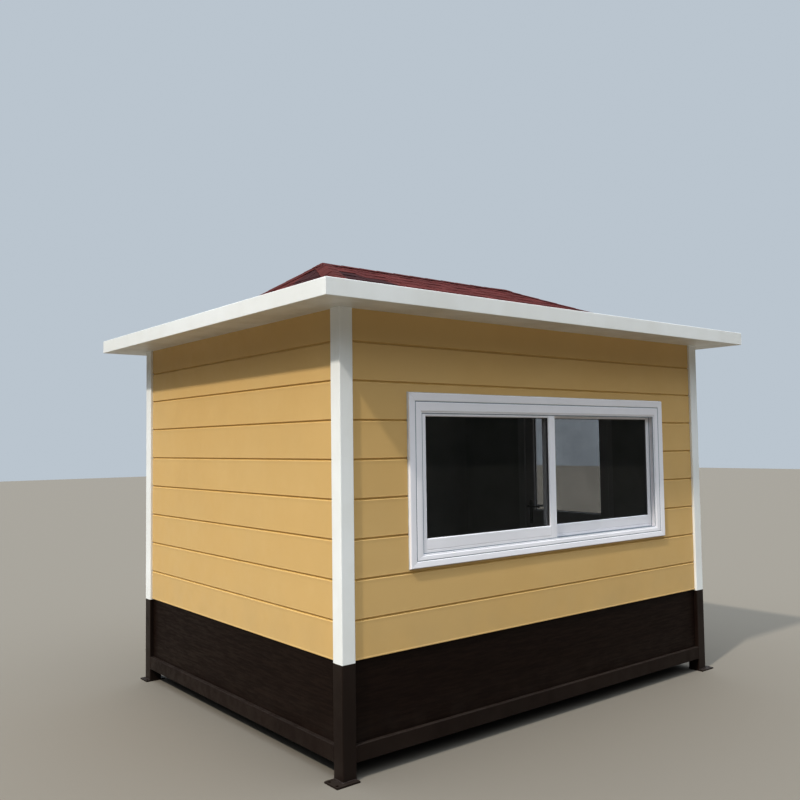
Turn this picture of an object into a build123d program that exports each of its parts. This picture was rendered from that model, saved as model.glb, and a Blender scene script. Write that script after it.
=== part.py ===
from build123d import *
import os

# Guard booth of the prefabricated kind: a welded frame of square tube on foot plates, filled with
# dark plinth panels and strip-faced wall panels, under a boxed cornice and a low hip roof.
# Millimetres. X runs left to right along the front, Y to the back, Z up. The front faces -Y.
# The origin is on the ground, under the centre of the frame.

# Steel frame
frame_length = 3016.0
frame_depth = 2336.0
post_width = 78.0
post_corner = 5.0
tube_wall = 3.0
rail_bottom = 82.0
rail_height = 80.0

# Foot plates: front and back ones stand out of the posts by different amounts
plate_length = 130.0
plate_depth = 106.0
plate_thickness = 8.0
plate_out_front = 52.0
plate_out_back = 24.0
plate_out_y = 26.0
anchor_radius = 7.0
anchor_edge = 15.0
anchor_spacing = 62.0

# Floor and ceiling
floor_board = 18.0
joist_width = 40.0
joist_height = 60.0
joist_count = 6
ceiling_thickness = 50.0

# Wall panels: the plinth is set back behind the strips, the strips behind the posts
plinth_top = 546.0
soffit_level = 2221.0
siding_recess = 16.0
plinth_recess = 24.0
strip_height = 190.0
groove_depth = 6.0
groove_width = 9.0

# Cornice: a folded sheet, open towards the frame
cornice_height = 82.0
cornice_reach = 220.0
cornice_sheet = 4.0
cornice_bend = 5.0
deck_thickness = 14.0

# Hip roof on the deck
roof_inset_x = 150.0
roof_inset_y = 75.0
ridge_inset = 687.0
ridge_rise = 416.0
roof_build_up = 26.0
cap_width = 110.0
cap_thickness = 8.0

# Front window: a casing on the strips, a frame with two tracks and two sashes
window_length = 2170.0
window_bottom = 940.0
window_height = 884.0
casing_side = 46.0
casing_bottom = 36.0
casing_lap = 24.0
casing_round = 3.0
frame_face = 4.0
frame_side = 36.0
frame_head = 48.0
frame_sill = 22.0
track_rib = 4.0
track_rib_height = 8.0
track_front = 10.0
sash_thickness = 24.0
sash_stile = 40.0
sash_meeting = 57.0
sash_top = 26.0
sash_bottom = 84.0
pane_thickness = 6.0
bead_bevel = 5.0

# Door in the right end wall, hinged at the front side and opening outwards
door_centre = -18.0
leaf_width = 854.0
leaf_thickness = 42.0
over_door = 119.0
door_gap = 7.0
door_frame_side = 45.0
door_sill = 25.0
door_proud = 8.0
stop_gap = 5.0
stop_lap = 15.0
leaf_stile = 92.0
leaf_glass_bottom = 1013.0
leaf_bottom_rail = 150.0
leaf_panel_recess = 9.0
hinge_radius = 8.0
hinge_height = 50.0
hinge_flap = 32.0
hinge_sheet = 3.0
hinge_stand_off = 9.0
hinge_inset = 200.0
hinge_count = 3
pin_radius = 4.0
pin_clearance = 0.3
knuckle_gap = 0.5

# Door handle
handle_setback = 57.0
handle_plate_bottom = 894.0
handle_plate_height = 196.0
handle_plate_width = 30.0
handle_plate_thickness = 6.0
lever_level = 1040.0
lever_length = 115.0
lever_height = 18.0
lever_thickness = 14.0
lever_stand_off = 38.0
neck_radius = 8.0
spindle_radius = 5.0
spindle_clearance = 2.0

# Places that follow from the sizes above
half_x = frame_length / 2
half_y = frame_depth / 2
room_x = half_x - post_width
room_y = half_y - post_width
rail_top = rail_bottom + rail_height
cornice_top = soffit_level + cornice_height
deck_bottom = cornice_top - deck_thickness
siding_x = half_x - siding_recess
siding_y = half_y - siding_recess
plinth_x = half_x - plinth_recess
plinth_y = half_y - plinth_recess
window_top = window_bottom + window_height
door_low = door_centre - leaf_width / 2
door_high = door_centre + leaf_width / 2
door_face = siding_x + door_proud
door_cut_low = door_low - door_gap - door_frame_side
door_cut_high = door_high + door_gap + door_frame_side
door_cut_top = soffit_level - over_door
leaf_top = door_cut_top - door_frame_side - door_gap
leaf_bottom = rail_top + door_sill + door_gap
hinge_axis_x = door_face + hinge_stand_off
hinge_axis_y = door_low - door_gap / 2

parts = {}


def block(x0, x1, y0, y1, z0, z1):
    """A box from its six faces."""
    low = (min(x0, x1), min(y0, y1), min(z0, z1))
    return Box(abs(x1 - x0), abs(y1 - y0), abs(z1 - z0), align=(Align.MIN,) * 3).moved(Location(low))


def tube(length, width, height, corner):
    """Rectangular hollow section along X, centred on its axis."""
    outer = RectangleRounded(width, height, corner)
    inner = Rectangle(width - 2 * tube_wall, height - 2 * tube_wall)
    section = Plane.YZ * (outer - inner)
    return extrude(section, length / 2, both=True)


def plate_out(side_y):
    return plate_out_front if side_y < 0 else plate_out_back


def corner_post(side_x, side_y):
    section = RectangleRounded(post_width, post_width, post_corner)
    section -= Rectangle(post_width - 2 * tube_wall, post_width - 2 * tube_wall)
    place = (side_x * (half_x - post_width / 2), side_y * (half_y - post_width / 2), plate_thickness)
    return extrude(section, deck_bottom - plate_thickness).moved(Location(place))


def foot_plate(side_x, side_y):
    """Plate under a post, with two anchor holes in the strip that stands out sideways."""
    edge_x = half_x + plate_out(side_y)
    edge_y = half_y + plate_out_y
    plate = block(side_x * edge_x, side_x * (edge_x - plate_length), side_y * edge_y,
                  side_y * (edge_y - plate_depth), 0, plate_thickness)
    middle_y = edge_y - plate_depth / 2
    for step in (-0.5, 0.5):
        spot = (side_x * (edge_x - anchor_edge), side_y * middle_y + step * anchor_spacing)
        plate -= Pos(*spot, plate_thickness / 2) * Cylinder(anchor_radius, 3 * plate_thickness)
    return plate


def long_member(side_y, middle_z, height):
    member = tube(2 * room_x, post_width, height, tube_wall)
    return member.moved(Location((0, side_y * (half_y - post_width / 2), middle_z)))


def cross_member(side_x, middle_z, height):
    member = Rot(0, 0, 90) * tube(2 * room_y, post_width, height, tube_wall)
    return member.moved(Location((side_x * (half_x - post_width / 2), 0, middle_z)))


def floor():
    """Floor board between the rails, on joists that run from the front rail to the back one."""
    board = block(-room_x, room_x, -room_y, room_y, rail_top - floor_board, rail_top)
    under = rail_top - floor_board
    pitch = 2 * room_x / (joist_count + 1)
    for number in range(joist_count):
        x = -room_x + pitch * (number + 1)
        board += block(x - joist_width / 2, x + joist_width / 2, -room_y, room_y, under - joist_height, under)
    return board


def strip_profile(bottom, top, thickness):
    """Upright section of a wall panel: outer face at 0, inner face at the thickness, with a lapped
    groove at each strip joint that falls inside the panel."""
    points = [(thickness, bottom), (0, bottom)]
    count = int((top - plinth_top) / strip_height)
    for number in range(1, count + 1):
        joint = plinth_top + number * strip_height
        if bottom + groove_width < joint < top - groove_width:
            points += [(0, joint - groove_width), (groove_depth / 2, joint - groove_width / 2),
                       (groove_depth, joint - groove_width / 3), (groove_depth, joint), (0, joint + 1)]
    points += [(0, top), (thickness, top)]
    return points


def long_panel(side_y, x0, x1, profile, face):
    """Panel of a front or back wall: its section carried along X."""
    points = [(0, side_y * (face - depth), z) for depth, z in profile]
    section = make_face(Polyline(*points, close=True))
    return extrude(section, x1 - x0, dir=(1, 0, 0)).moved(Location((x0, 0, 0)))


def cross_panel(side_x, y0, y1, profile, face):
    """Panel of an end wall: its section carried along Y."""
    points = [(side_x * (face - depth), 0, z) for depth, z in profile]
    section = make_face(Polyline(*points, close=True))
    return extrude(section, y1 - y0, dir=(0, 1, 0)).moved(Location((0, y0, 0)))


def plain_profile(bottom, top, thickness):
    return [(thickness, bottom), (0, bottom), (0, top), (thickness, top)]


def cornice(side_x, side_y):
    """Fascia, soffit and top leg folded from one sheet, mitred at the corners of the roof."""
    outer = (half_y if side_y else half_x) + cornice_reach
    inner = half_y if side_y else half_x
    run = (half_x if side_y else half_y) + cornice_reach
    sheet = cornice_sheet
    fold = [(inner, soffit_level), (outer, soffit_level), (outer, cornice_top), (inner, cornice_top),
            (inner, cornice_top - sheet), (outer - sheet, cornice_top - sheet),
            (outer - sheet, soffit_level + sheet), (inner, soffit_level + sheet)]
    section = make_face(Polyline(*[(0, -y, z) for y, z in fold], close=True)).face()
    for bend_y, radius in ((outer, cornice_bend), (outer - sheet, cornice_bend - sheet)):
        bends = section.vertices().filter_by(lambda v: abs(v.Y + bend_y) < 0.01)
        section = section.fillet_2d(radius, bends)
    length = extrude(section, run, dir=(1, 0, 0), both=True)
    plan = Polyline((-run, -outer), (run, -outer), (run - cornice_reach, -inner),
                    (cornice_reach - run, -inner), close=True)
    wedge = extrude(make_face(plan), cornice_top + sheet)
    turn = {(0, -1): 0, (1, 0): 90, (0, 1): 180, (-1, 0): 270}[(side_x, side_y)]
    return Rot(0, 0, turn) * (length & wedge)


def hip_solid(lift):
    """The hip roof's form above the deck, raised by lift: every plane moves up by the same height."""
    base_x = half_x - roof_inset_x
    base_y = half_y - roof_inset_y
    ridge = half_x - ridge_inset
    low_x = base_x + lift * (base_x - ridge) / ridge_rise
    low_y = base_y + lift * base_y / ridge_rise
    base = [Vector(-low_x, -low_y, cornice_top), Vector(low_x, -low_y, cornice_top),
            Vector(low_x, low_y, cornice_top), Vector(-low_x, low_y, cornice_top)]
    left = Vector(-ridge, 0, cornice_top + ridge_rise + lift)
    right = Vector(ridge, 0, cornice_top + ridge_rise + lift)
    rings = [base, [base[0], base[1], right, left], [base[1], base[2], right],
             [base[2], base[3], left, right], [base[3], base[0], left]]
    return Solid(Shell([Face(Wire.make_polygon(ring, close=True)) for ring in rings]))


def roof_slope(side_x, side_y):
    """One slope of the roof: the shell between two hip forms, cut at the hips and the ridge."""
    shell = Part() + hip_solid(0) - hip_solid(-roof_build_up)
    base_x = half_x - roof_inset_x
    base_y = half_y - roof_inset_y
    ridge = half_x - ridge_inset
    if side_y:
        plan = [(-base_x, side_y * base_y), (base_x, side_y * base_y), (ridge, 0), (-ridge, 0)]
    else:
        plan = [(side_x * base_x, -base_y), (side_x * base_x, base_y), (side_x * ridge, 0)]
    return shell & extrude(make_face(Polyline(*plan, close=True)), cornice_top + 2 * ridge_rise)


def roof_caps():
    """Folded caps along the ridge and the four hips, lying on the slopes."""
    skin = Part() + hip_solid(cap_thickness) - hip_solid(0)
    base_x = half_x - roof_inset_x
    base_y = half_y - roof_inset_y
    ridge = half_x - ridge_inset
    runs = [((-ridge, 0), (ridge, 0))]
    runs += [((x * base_x, y * base_y), (x * ridge, 0)) for x in (-1, 1) for y in (-1, 1)]
    strips = Sketch()
    for start, end in runs:
        line = Vector(*end) - Vector(*start)
        middle = (Vector(*start) + Vector(*end)) / 2
        angle = Vector(1, 0).get_signed_angle(line, Vector(0, 0, 1))
        strips += Pos(middle.X, middle.Y) * Rot(0, 0, angle) * Rectangle(line.length + cap_width / 2, cap_width)
    return skin & extrude(strips, cornice_top + 2 * ridge_rise)


def window_ring(outer, inner, y0, y1):
    """Ring in the front wall between two openings, each given as half width, bottom and top."""
    ring = block(-outer[0], outer[0], y0, y1, outer[1], outer[2])
    return ring - block(-inner[0], inner[0], y0 - 1, y1 + 1, inner[1], inner[2])


front = -half_y
casing_outer = (window_length / 2, window_bottom, window_top)
casing_inner = (window_length / 2 - casing_side, window_bottom + casing_bottom, window_top - casing_side)
window_cut = (window_length / 2 - casing_lap, window_bottom + casing_lap, window_top - casing_lap)
sash_room = (casing_inner[0] - frame_side, casing_inner[1] + frame_sill, casing_inner[2] - frame_head)
track_left = front + track_front + track_rib
track_right = track_left + sash_thickness + track_rib
track_end = track_right + sash_thickness


def window_frame():
    """Casing on the strips and frame in the wall, with three ribs that form the two sash tracks."""
    casing = window_ring(casing_outer, casing_inner, front, front + siding_recess)
    frame = fillet(casing.edges().group_by(Axis.Y)[0], casing_round)
    frame += window_ring(casing_inner, sash_room, front + frame_face, front + siding_recess)
    frame += window_ring(window_cut, sash_room, front + siding_recess, front + post_width)
    lip = (sash_room[0] - track_rib_height, sash_room[1] + track_rib_height, sash_room[2] - track_rib_height)
    for rib in (track_left - track_rib, track_right - track_rib, track_end):
        frame += window_ring(sash_room, lip, rib, rib + track_rib)
    return frame


def sash_opening(side_x):
    outer_edge = side_x * (sash_room[0] - sash_stile)
    inner_edge = side_x * sash_meeting / 2
    return min(outer_edge, inner_edge), max(outer_edge, inner_edge)


def sash(side_x, y0):
    """Sliding sash with bevelled beads round the pane."""
    low, high = sash_opening(side_x)
    far = side_x * sash_room[0]
    near = -side_x * sash_meeting / 2
    body = block(far, near, y0, y0 + sash_thickness, sash_room[1], sash_room[2])
    bottom = sash_room[1] + sash_bottom
    top = sash_room[2] - sash_top
    body -= block(low, high, y0 - 1, y0 + sash_thickness + 1, bottom, top)
    rim = body.edges().filter_by(lambda e: abs(e.center().Y - y0) < 0.01
                                 and low - 0.01 <= e.center().X <= high + 0.01
                                 and bottom - 0.01 <= e.center().Z <= top + 0.01)
    return chamfer(rim, bead_bevel)


def window_pane(side_x, y0):
    low, high = sash_opening(side_x)
    middle = y0 + sash_thickness / 2
    return block(low, high, middle - pane_thickness / 2, middle + pane_thickness / 2,
                 sash_room[1] + sash_bottom, sash_room[2] - sash_top)


def hinge_levels():
    low = leaf_bottom + hinge_inset
    high = leaf_top - hinge_inset
    return [low + (high - low) * number / (hinge_count - 1) for number in range(hinge_count)]


def door_frame():
    """Rebated frame in the end wall, with the fixed hinge halves and their pins."""
    inner = door_face - leaf_thickness - stop_gap
    low = door_low - door_gap
    high = door_high + door_gap
    top = leaf_top + door_gap
    frame = block(room_x, door_face, door_cut_low, door_cut_high, rail_top, door_cut_top)
    frame -= block(inner, door_face + 1, low, high, rail_top + door_sill, top)
    lap = door_gap + stop_lap
    frame -= block(room_x - 1, inner, low + lap, high - lap, rail_top + door_sill + lap, top - lap)
    for level in hinge_levels():
        flap = block(door_face, door_face + hinge_sheet, hinge_axis_y - hinge_flap, hinge_axis_y,
                     level - hinge_height, level)
        barrel = Pos(hinge_axis_x, hinge_axis_y, level - hinge_height / 2) * Cylinder(hinge_radius, hinge_height)
        pin = Pos(hinge_axis_x, hinge_axis_y, level) * Cylinder(pin_radius, 2 * hinge_height - 4)
        frame += flap + barrel + pin
    return frame


def door_hinges():
    """The halves that turn with the leaf, dropped on the pins."""
    halves = []
    for level in hinge_levels():
        base = level + knuckle_gap
        flap = block(door_face, door_face + hinge_sheet, hinge_axis_y, hinge_axis_y + hinge_flap,
                     base, base + hinge_height)
        middle = base + hinge_height / 2
        barrel = Pos(hinge_axis_x, hinge_axis_y, middle) * Cylinder(hinge_radius, hinge_height)
        bore = Pos(hinge_axis_x, hinge_axis_y, middle) * Cylinder(pin_radius + pin_clearance, 2 * hinge_height)
        halves.append(flap + barrel - bore)
    return halves


def leaf_glass_span():
    return door_low + leaf_stile, door_high - leaf_stile, leaf_glass_bottom, leaf_top - leaf_stile


def door_leaf():
    """Half-glazed leaf with a sunk panel below, the same on both faces."""
    back = door_face - leaf_thickness
    leaf = block(back, door_face, door_low, door_high, leaf_bottom, leaf_top)
    low, high, bottom, top = leaf_glass_span()
    leaf -= block(back - 1, door_face + 1, low, high, bottom, top)
    lock_rail = bottom - leaf_stile
    for x0, x1 in ((back - 1, back + leaf_panel_recess), (door_face - leaf_panel_recess, door_face + 1)):
        leaf -= block(x0, x1, low, high, leaf_bottom + leaf_bottom_rail, lock_rail)
    rim = leaf.edges().filter_by(lambda e: abs(e.center().X - door_face) < 0.01
                                 and low - 0.01 <= e.center().Y <= high + 0.01
                                 and bottom - 0.01 <= e.center().Z <= top + 0.01)
    leaf = chamfer(rim, bead_bevel)
    spindle = Pos(door_face, door_high - handle_setback, lever_level) * Rot(0, 90, 0)
    return leaf - spindle * Cylinder(spindle_radius + spindle_clearance, 4 * leaf_thickness)


def door_pane():
    low, high, bottom, top = leaf_glass_span()
    middle = door_face - leaf_thickness / 2
    return block(middle - pane_thickness / 2, middle + pane_thickness / 2, low, high, bottom, top)


def door_handle():
    """Lever and long plate on each face, joined by the spindle."""
    y = door_high - handle_setback
    back = door_face - leaf_thickness
    handle = Pos((back + door_face) / 2, y, lever_level) * Rot(0, 90, 0) * Cylinder(spindle_radius, leaf_thickness)
    for face, out in ((door_face, 1), (back, -1)):
        plate = RectangleRounded(handle_plate_width, handle_plate_height, handle_plate_width / 3)
        plane = Plane((face, y, handle_plate_bottom + handle_plate_height / 2), x_dir=(0, 1, 0), z_dir=(1, 0, 0))
        handle += extrude(plane * plate, out * handle_plate_thickness)
        reach = lever_stand_off + lever_thickness / 2
        neck = Pos(face + out * reach / 2, y, lever_level) * Rot(0, 90, 0) * Cylinder(neck_radius, reach)
        grip = Plane((face + out * lever_stand_off, y - lever_length / 2, lever_level),
                     x_dir=(0, 1, 0), z_dir=(1, 0, 0)) * SlotOverall(lever_length + lever_height, lever_height)
        handle += neck + extrude(grip, lever_thickness / 2, both=True)
    return handle


def wall_right(y0, y1, bottom, top):
    return cross_panel(1, y0, y1, strip_profile(bottom, top, post_width - siding_recess), siding_x)


sides = {"left": -1, "right": 1}
ends = {"front": -1, "back": 1}
beam_middle = (soffit_level + deck_bottom) / 2
rail_middle = rail_bottom + rail_height / 2
beam_height = deck_bottom - soffit_level

parts["foot_plates"] = [foot_plate(x, y) for x in (-1, 1) for y in (-1, 1)]
for end, side_y in ends.items():
    for side, side_x in sides.items():
        parts[f"post_{end}_{side}"] = corner_post(side_x, side_y)
    parts[f"rail_{end}"] = long_member(side_y, rail_middle, rail_height)
    parts[f"beam_{end}"] = long_member(side_y, beam_middle, beam_height)
    parts[f"cornice_{end}"] = cornice(0, side_y)
    parts[f"roof_slope_{end}"] = roof_slope(0, side_y)
for side, side_x in sides.items():
    parts[f"rail_{side}"] = cross_member(side_x, rail_middle, rail_height)
    parts[f"beam_{side}"] = cross_member(side_x, beam_middle, beam_height)
    parts[f"cornice_{side}"] = cornice(side_x, 0)
    parts[f"roof_slope_{side}"] = roof_slope(side_x, 0)

parts["floor"] = floor()
parts["ceiling"] = block(-room_x, room_x, -room_y, room_y, soffit_level, soffit_level + ceiling_thickness)
parts["roof_deck"] = block(-half_x, half_x, -half_y, half_y, deck_bottom, cornice_top)
parts["roof_caps"] = roof_caps()

plinth = plain_profile(rail_top, plinth_top, post_width - plinth_recess)
siding = strip_profile(plinth_top, soffit_level, post_width - siding_recess)
for end, side_y in ends.items():
    parts[f"plinth_{end}"] = long_panel(side_y, -room_x, room_x, plinth, plinth_y)
    parts[f"wall_{end}"] = long_panel(side_y, -room_x, room_x, siding, siding_y)
parts["wall_front"] -= block(-window_cut[0], window_cut[0], -half_y - 1, -room_y + 1, window_cut[1], window_cut[2])
parts["plinth_left"] = cross_panel(-1, -room_y, room_y, plinth, plinth_x)
parts["wall_left"] = cross_panel(-1, -room_y, room_y, siding, siding_x)
parts["plinth_right_front"] = cross_panel(1, -room_y, door_cut_low, plinth, plinth_x)
parts["plinth_right_back"] = cross_panel(1, door_cut_high, room_y, plinth, plinth_x)
parts["wall_right_front"] = wall_right(-room_y, door_cut_low, plinth_top, soffit_level)
parts["wall_right_back"] = wall_right(door_cut_high, room_y, plinth_top, soffit_level)
parts["wall_over_door"] = wall_right(door_cut_low, door_cut_high, door_cut_top, soffit_level)

parts["window_frame"] = window_frame()
parts["window_sash_left"] = sash(-1, track_left)
parts["window_sash_right"] = sash(1, track_right)
parts["window_glass"] = [window_pane(-1, track_left), window_pane(1, track_right)]
parts["door_frame"] = door_frame()
parts["door_leaf"] = door_leaf()
parts["door_glass"] = door_pane()
parts["door_handle"] = door_handle()
parts["door_hinges"] = door_hinges()

os.makedirs("parts", exist_ok=True)
for name, shape in parts.items():
    solids = shape if isinstance(shape, list) else [shape]
    flat = [solid for item in solids for solid in item.solids()]
    whole = flat[0] if len(flat) == 1 else Compound(children=flat)
    whole.label = name
    export_step(whole, f"parts/{name}.step")
    print(name, len(flat), "solids", round(sum(solid.volume for solid in flat)))
print("nodes", len(parts))
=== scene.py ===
import bpy
import numpy as np
from mathutils import Matrix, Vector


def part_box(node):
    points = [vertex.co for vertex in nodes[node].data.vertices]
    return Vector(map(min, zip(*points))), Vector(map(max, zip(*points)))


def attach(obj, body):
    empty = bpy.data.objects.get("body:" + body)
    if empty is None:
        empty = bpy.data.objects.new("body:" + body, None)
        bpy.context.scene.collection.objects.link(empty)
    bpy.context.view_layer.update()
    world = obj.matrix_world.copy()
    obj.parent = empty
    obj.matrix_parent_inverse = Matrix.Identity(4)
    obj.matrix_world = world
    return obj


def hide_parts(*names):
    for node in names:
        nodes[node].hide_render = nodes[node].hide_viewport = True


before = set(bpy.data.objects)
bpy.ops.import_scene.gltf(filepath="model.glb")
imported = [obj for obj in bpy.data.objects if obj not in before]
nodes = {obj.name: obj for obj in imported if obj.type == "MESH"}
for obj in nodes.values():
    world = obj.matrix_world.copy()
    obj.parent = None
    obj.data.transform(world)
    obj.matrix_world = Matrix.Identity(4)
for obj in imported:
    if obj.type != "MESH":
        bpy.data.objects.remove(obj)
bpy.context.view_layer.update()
print("scene: frame loaded,", len(nodes), "nodes")

# Camera, light and floor. Lengths in metres, angles in degrees
cameraPlace = {"spot": (-3.7564, -4.4203, 1.5625), "yaw": 38.772, "pitch": 3.027, "roll": -0.754,
               "lens": 37.75}
sunlight = {"from": (-1.0, -0.26, 1.2), "colour": (1.0, 0.955, 0.875), "strength": 2.42, "softness": 2.4}
skylight = {"colour": (0.87, 0.975, 1.08), "low": 0.05, "high": 2.55, "rise": (0.24, 0.95), "seen": 0.5}
ground = {"colour": (0.172, 0.152, 0.126), "reach": 40.0}


def unit(vector):
    return vector / np.linalg.norm(vector)


def placed(name, data, axes=None, spot=(0, 0, 0)):         # a new object in the scene, turned to three axes
    thing = bpy.data.objects.new(name, data)
    if axes:
        thing.matrix_world = Matrix.Translation(spot) @ Matrix(np.column_stack(axes).tolist()).to_4x4()
    bpy.context.scene.collection.objects.link(thing)
    return thing


def placeCamera(values):
    yaw, pitch, roll = np.radians([values["yaw"], values["pitch"], values["roll"]])
    forward = np.array([np.sin(yaw) * np.cos(pitch), np.cos(yaw) * np.cos(pitch), np.sin(pitch)])
    side = unit(np.cross(forward, [0, 0, 1]))
    above = np.cross(side, forward)
    right = side * np.cos(roll) + above * np.sin(roll)
    up = above * np.cos(roll) - side * np.sin(roll)
    lens = bpy.data.cameras.new("photoCamera")
    lens.lens = values["lens"]
    lens.sensor_width = 36.0
    lens.clip_end = 200.0
    bpy.context.scene.camera = placed("photoCamera", lens, (right, up, -forward), values["spot"])


def placeLamp(values):
    lamp = bpy.data.lights.new("softKey", "SUN")
    lamp.energy = values["strength"]
    lamp.color = values["colour"]
    lamp.angle = np.radians(values["softness"])
    backward = unit(np.array(values["from"]))
    side = unit(np.cross([0, 0, 1], backward))
    placed("softKey", lamp, (side, np.cross(backward, side), backward))
    bpy.context.scene.view_settings.view_transform = "Standard"
    bpy.context.scene.view_settings.look = "Medium High Contrast"


placeCamera(cameraPlace)
placeLamp(sunlight)
print("scene: camera and lamp placed")


# Finishes: a small language for shader sockets, so that their sums read as plain arithmetic
def operator(name, swapped=False):
    def apply(self, other):
        pair = (other, self) if swapped else (self, other)
        return self.graph.add("Math", {"operation": name}, dict(enumerate(pair)))
    return apply


class Wire:               # one output socket
    def __init__(self, graph, socket):
        self.graph = graph
        self.socket = socket

    __add__ = operator("ADD")
    __radd__ = operator("ADD", True)
    __sub__ = operator("SUBTRACT")
    __rsub__ = operator("SUBTRACT", True)
    __mul__ = operator("MULTIPLY")
    __rmul__ = operator("MULTIPLY", True)


class Graph:              # one node tree, with a single method that adds nodes
    def __init__(self, tree):
        self.tree = tree

    def plug(self, socket, value):
        if isinstance(value, Wire):
            self.tree.links.new(value.socket, socket)
        else:
            socket.default_value = (*value, 1.0) if socket.type == "RGBA" else value

    def add(self, kind, settings, sockets, out=0):
        node = self.tree.nodes.new("ShaderNode" + kind)
        for name, value in settings.items():
            setattr(node, name, value)
        for name, value in sockets.items():
            self.plug(node.inputs[name], value)
        return Wire(self, node.outputs[out])

    def ramp(self, value, low, high, start=0.0, end=1.0):
        sockets = {0: value, 1: low, 2: high, 3: start, 4: end}
        return self.add("MapRange", {"interpolation_type": "SMOOTHSTEP"}, sockets)


class Finish(Graph):      # one material: its node tree and its Principled shader
    def __init__(self, name, **constants):
        self.material = bpy.data.materials.new(name)
        self.material.use_nodes = True
        super().__init__(self.material.node_tree)
        self.tree.nodes.clear()
        self.shader = self.tree.nodes.new("ShaderNodeBsdfPrincipled")
        end = self.tree.nodes.new("ShaderNodeOutputMaterial")
        self.tree.links.new(self.shader.outputs[0], end.inputs[0])
        self.give(**constants)
        self.place = self.add("TexCoord", {}, {}, "Object")

    def give(self, **sockets):        # shader sockets by name, spaces left out
        for name, value in sockets.items():
            found = [s for s in self.shader.inputs if s.name.replace(" ", "") == name]
            self.plug(found[0], value)

    def noise(self, scale, detail=3.0, roughness=0.5, stretch=(1, 1, 1)):
        spot = self.add("VectorMath", {"operation": "MULTIPLY"}, {0: self.place, 1: stretch})
        sockets = {"Vector": spot, "Scale": scale, "Detail": detail, "Roughness": roughness}
        return self.add("TexNoise", {}, sockets, "Fac")

    def share(self, low, high, scale, detail=4.0, stretch=(1, 1, 1)):         # patches between two shares
        return self.ramp(self.noise(scale, detail, 0.55, stretch), 0.35, 0.65, low, high)

    def height(self):
        return self.add("SeparateXYZ", {}, {0: self.place}, "Z")

    def upward(self):                 # the upright part of the normal
        return self.add("SeparateXYZ", {}, {0: self.add("NewGeometry", {}, {}, "Normal")}, "Z")

    def tone(self):                   # the tone of each face
        return self.add("Attribute", {"attribute_name": "tone"}, {}, "Fac")

    def blend(self, share, first, second):
        return self.add("Mix", {"data_type": "RGBA"}, {0: share, 6: first, 7: second}, 2)

    def done(self, tone, rough, height, depth, strength):         # depth of the relief in metres
        bump = self.add("Bump", {}, {"Height": height, "Distance": depth, "Strength": strength})
        self.give(BaseColor=tone, Roughness=rough, Normal=bump)
        return self.material


def placeSky(values):           # brighter towards the top of the dome; the camera sees an even pale one
    world = bpy.data.worlds.new("studioSky")
    world.use_nodes = True
    sky = Graph(world.node_tree)
    height = sky.add("SeparateXYZ", {}, {0: sky.add("TexCoord", {}, {}, "Generated")}, "Z")
    dome = sky.ramp(height, *values["rise"], values["low"], values["high"])
    seen = sky.add("LightPath", {}, {}, "Is Camera Ray")
    background = sky.tree.nodes["Background"]
    sky.plug(background.inputs["Color"], values["colour"])
    sky.plug(background.inputs["Strength"], seen * values["seen"] + (1 - seen) * dome)
    bpy.context.scene.world = world


placeSky(skylight)


# Each "splash" is a ramp over the height: where it starts and ends, and its shares there
def ochreSheet():
    values = {"tone": (0.6, 0.392, 0.158), "worn": (0.64, 0.43, 0.182), "dust": (0.42, 0.3, 0.15),
              "groove": (0.54, 0.345, 0.11), "splash": (0.546, 0.86, 0.2, 0.0)}
    finish = Finish("ochreSheet", SpecularIORLevel=0.42)
    body = finish.blend(finish.share(0.0, 0.55, 1.7), values["tone"], values["worn"])
    low = finish.ramp(finish.height(), *values["splash"]) * finish.share(0.3, 1.0, 3.2)
    body = finish.blend(finish.share(0.0, 0.1, 1.6) + low, body, values["dust"])
    # Faces in the grooves take a darker, more saturated tone: partly dirt in the joints, partly painted shade
    # in the grooves
    body = finish.blend(finish.tone() * finish.share(0.75, 1.0, 12.0), body, values["groove"])
    ripple = finish.noise(2.6, 2.0) * 0.7 + finish.noise(70.0, 2.0) * 0.03
    return finish.done(body, finish.share(0.42, 0.56, 9.0), ripple, 0.0022, 0.8)


# The white dirt tone also serves as painted shade on the undersides, in whitePaint
whiteValues = {"tone": (0.8, 0.8, 0.78), "aged": (0.76, 0.755, 0.725), "dirt": (0.5, 0.47, 0.4),
               "grime": 0.05}
darkValues = {"tone": (0.0125, 0.0066, 0.0048), "aged": (0.018, 0.0105, 0.0078), "grime": 0.06,
              "dirt": (0.045, 0.036, 0.028), "dust": (0.06, 0.052, 0.044),
              "splash": (0.0, 0.22, 0.1, 0.0)}


def paintTone(finish, values):
    patches = finish.blend(finish.share(0.0, 1.0, 2.3), values["tone"], values["aged"])
    rain = finish.share(0.0, values["grime"], 4.0, 3.0, (2, 2, 0.5))
    return finish.blend(rain, patches, values["dirt"])


def whitePaint():
    finish = Finish("whitePaint", SpecularIORLevel=0.5)
    # Faces turned up or down take the dirt tone in patches: dust on the tops, painted shade on the undersides
    # such as the soffit
    upward = finish.upward()
    level = finish.ramp(upward * upward, 0.3, 0.9, 0.0, 0.6) * finish.share(0.5, 1.0, 5.0)
    tone = finish.blend(level, paintTone(finish, whiteValues), whiteValues["dirt"])
    skin = finish.noise(3.0, 2.0) * 0.6 + finish.noise(240.0, 1.0) * 0.02
    return finish.done(tone, finish.share(0.3, 0.42, 11.0), skin, 0.0012, 0.7)


def darkCoat(finish, values):         # dust on what faces upwards, and a splashed foot
    upward = finish.ramp(finish.upward(), 0.55, 0.95, 0.0, 0.24) * finish.share(0.45, 1.0, 14.0)
    splash = finish.ramp(finish.height(), *values["splash"]) * finish.share(0.1, 1.0, 9.0)
    return finish.blend(upward + splash, paintTone(finish, values), values["dust"])


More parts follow.
